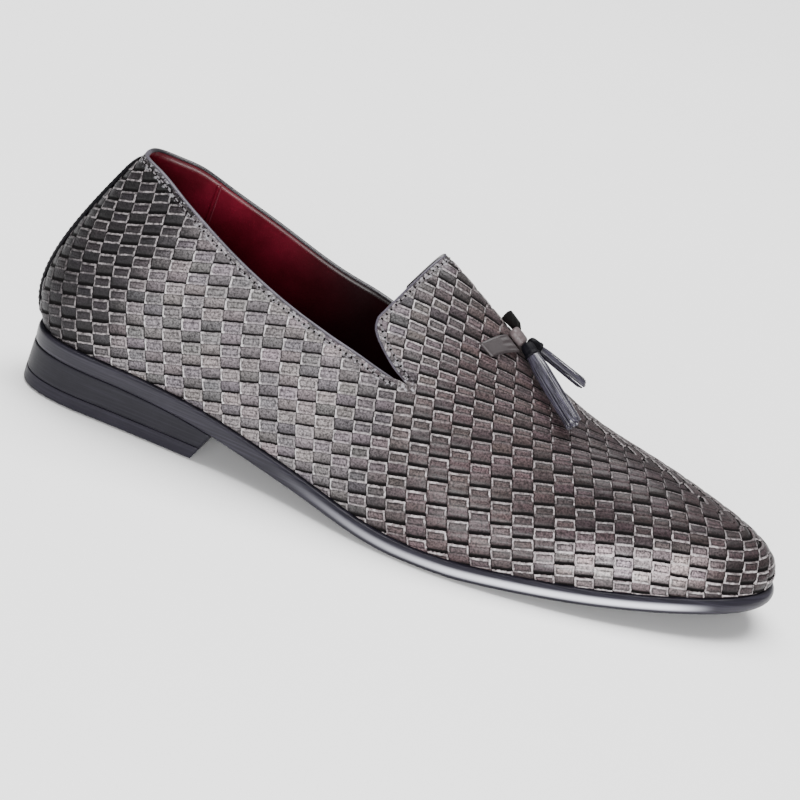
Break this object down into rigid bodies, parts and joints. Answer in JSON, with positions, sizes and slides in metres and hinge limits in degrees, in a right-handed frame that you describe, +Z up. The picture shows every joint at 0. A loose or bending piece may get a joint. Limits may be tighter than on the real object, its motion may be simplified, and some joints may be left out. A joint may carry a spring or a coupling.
{
  "type": "tassel loafer",
  "caption": "Low slip-on shoe with a woven whole-cut upper, a raised tongue tab, a small bow with tassels, a thin leather sole and a low stacked heel.",
  "frame": {"origin": "middle of the shoe's footprint, on the ground plane", "axes": "+X towards the toe, -Y to the outer (little toe) side, +Z up"},
  "size_m": [0.3096, 0.1068, 0.1036],
  "materials": {
    "woven_leather": "plain-woven strips, satin",
    "edge_leather": "satin",
    "sole_leather": "polished edge",
    "heel_leather": "satin",
    "heel_rubber": "satin",
    "insole_leather": "smooth",
    "bow_leather": "smooth, satin",
    "tassel_leather": "glossy"
  },
  "bodies": {
    "root": {"upper": "woven_leather", "outsole": "sole_leather", "insole": "insole_leather", "heel_lift": "heel_leather", "top_piece": "heel_rubber", "mouth_binding": "edge_leather", "tab_binding": "edge_leather", "back_strip": "edge_leather", "bow_wing_outer": "bow_leather", "bow_wing_inner": "bow_leather", "bow_knot": "bow_leather", "tassel_outer": "tassel_leather", "tassel_inner": "tassel_leather"}
  },
  "joints": []
}
